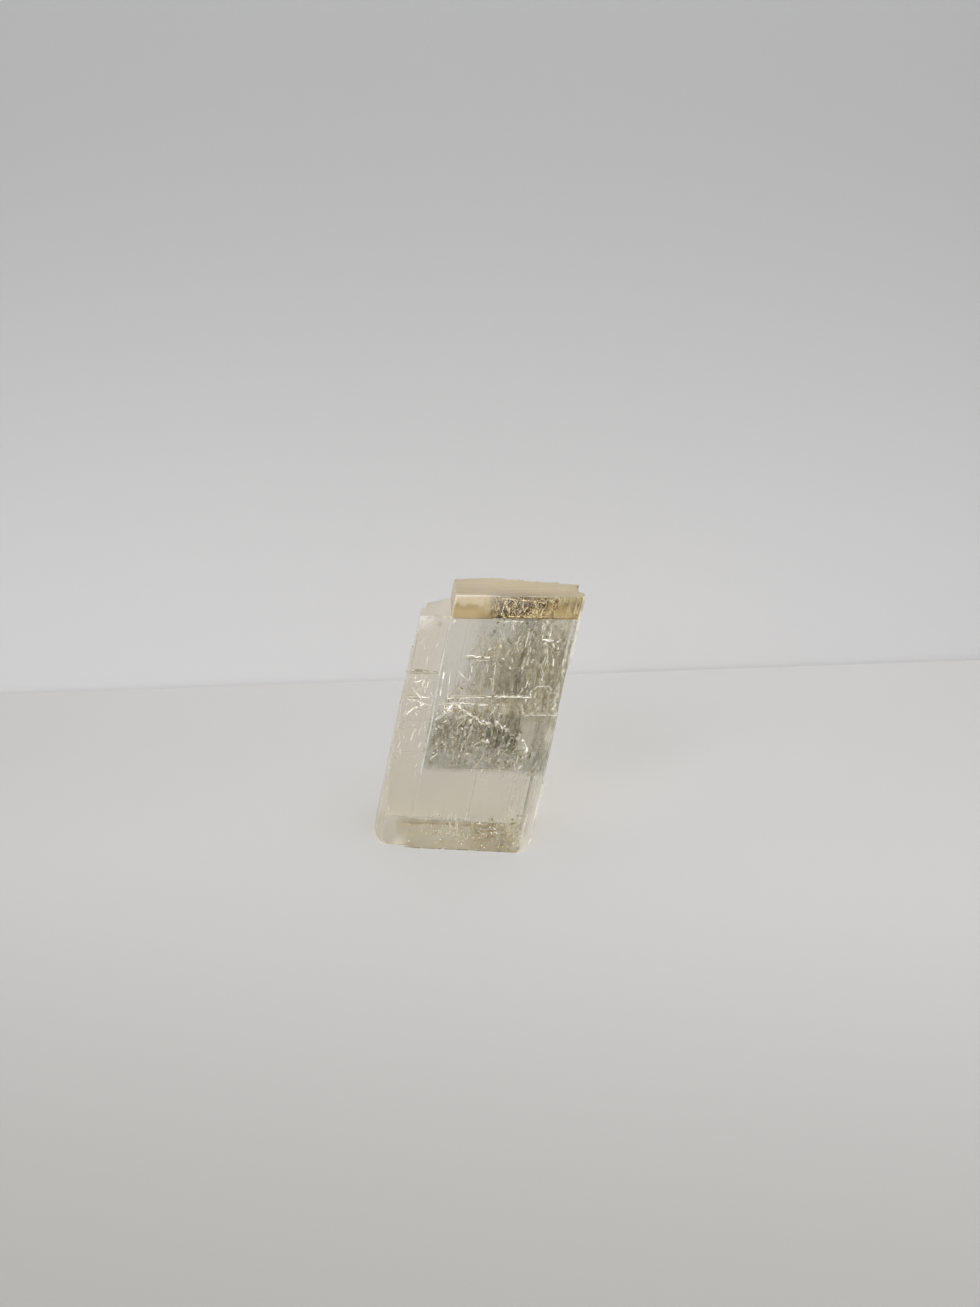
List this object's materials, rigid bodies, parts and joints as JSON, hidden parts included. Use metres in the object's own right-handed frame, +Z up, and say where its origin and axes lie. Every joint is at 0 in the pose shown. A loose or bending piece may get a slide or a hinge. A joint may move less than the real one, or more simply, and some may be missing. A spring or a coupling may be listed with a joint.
{
  "type": "optical calcite crystal",
  "caption": "Clear, honey-tinged calcite cleavage block with stepped sides and a broken ledge, standing upright on its flat base.",
  "frame": {"origin": "on the base plane, under the middle of the block's outline", "axes": "+Z up, +X along the front face's lower edge to the right, +Y from the front face to the back"},
  "size_m": [0.0732, 0.0492, 0.078],
  "materials": {
    "clear_calcite": "natural cleavage faces, glossy, with fine steps"
  },
  "bodies": {
    "root": {"calcite_crystal": "clear_calcite"}
  },
  "joints": []
}
